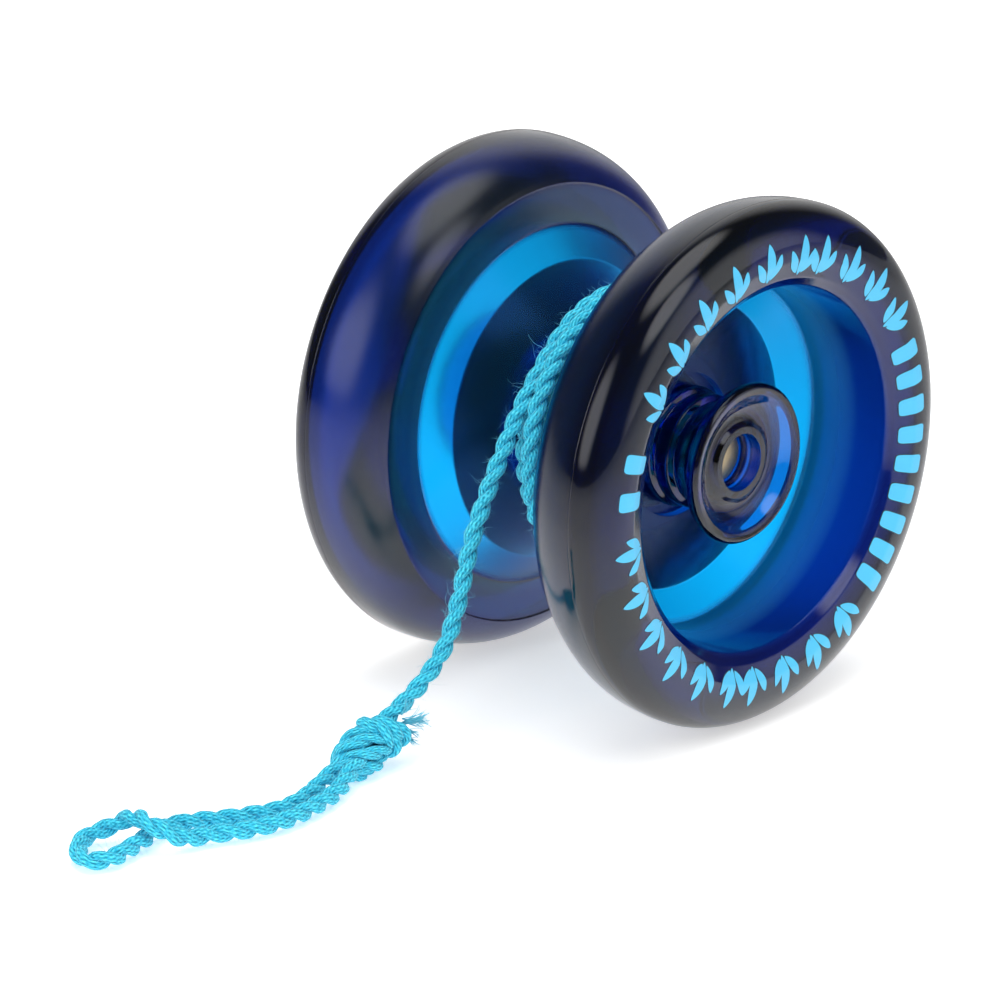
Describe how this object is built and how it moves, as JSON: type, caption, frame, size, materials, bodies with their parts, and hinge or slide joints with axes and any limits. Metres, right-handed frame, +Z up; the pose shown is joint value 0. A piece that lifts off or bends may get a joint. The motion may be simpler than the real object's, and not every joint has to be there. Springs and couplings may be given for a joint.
{
  "type": "yo-yo",
  "caption": "Ball-bearing yo-yo with translucent dished halves, hub posts on a threaded axle, and a wound string ending in a knot and finger loop.",
  "frame": {"origin": "on the floor under the middle of the yo-yo, standing on its two rims; the string is left out", "axes": "+Y along the spin axis, from the front half to the rear half; +Z up; the free string leaves towards -X"},
  "size_m": [0.1026, 0.0442, 0.0555],
  "materials": {
    "blue_moulding": "translucent dark blue, gloss moulded",
    "navy_moulding": "translucent navy, gloss moulded",
    "brass": "turned, lightly tarnished",
    "turned_aluminium": "turned",
    "silicone": "matt silicone",
    "bearing_steel": "ground",
    "ball_steel": "polished",
    "spring_steel": "plain",
    "axle_steel": "threaded, oiled",
    "cage_plastic": "moulded",
    "string": "two-ply twisted, fuzzy"
  },
  "bodies": {
    "string_and_ring": {"bearing_outer_ring": "bearing_steel", "front_shield": "bearing_steel", "rear_shield": "bearing_steel", "front_shield_clip": "spring_steel", "rear_shield_clip": "spring_steel", "string_winding": "string", "string_free": "string", "string_knot": "string", "finger_loop": "string"},
    "rotor": {"rear_half": "blue_moulding", "rear_hub_post": "navy_moulding", "rear_axle_nut": "brass", "rear_bearing_seat": "turned_aluminium", "rear_response_pad": "silicone", "axle": "axle_steel", "bearing_inner_ring": "bearing_steel"},
    "ball_cage": {"bearing_cage": "cage_plastic", "ball_1": "ball_steel", "ball_2": "ball_steel", "ball_3": "ball_steel", "ball_4": "ball_steel", "ball_5": "ball_steel", "ball_6": "ball_steel", "ball_7": "ball_steel", "ball_8": "ball_steel"},
    "front_side": {"front_half": "blue_moulding", "front_hub_post": "navy_moulding", "front_axle_nut": "brass", "front_bearing_seat": "turned_aluminium", "front_response_pad": "silicone"}
  },
  "joints": [
    {"name": "rotor_spin", "type": "hinge", "parent": "string_and_ring", "child": "rotor", "pos_m": [0, 0, 0.02775], "axis": [0, 1, 0], "continuous": true},
    {"name": "ball_cage_spin", "type": "hinge", "parent": "string_and_ring", "child": "ball_cage", "pos_m": [0, 0, 0.02775], "axis": [0, 1, 0], "continuous": true},
    {"name": "front_side_unscrew", "type": "slide", "parent": "rotor", "child": "front_side", "axis": [0, -1, 0], "range_m": [0, 0.018]}
  ],
  "couplings": [
    {"joint": "ball_cage_spin", "follows": "rotor_spin", "ratio": 0.41664}
  ]
}
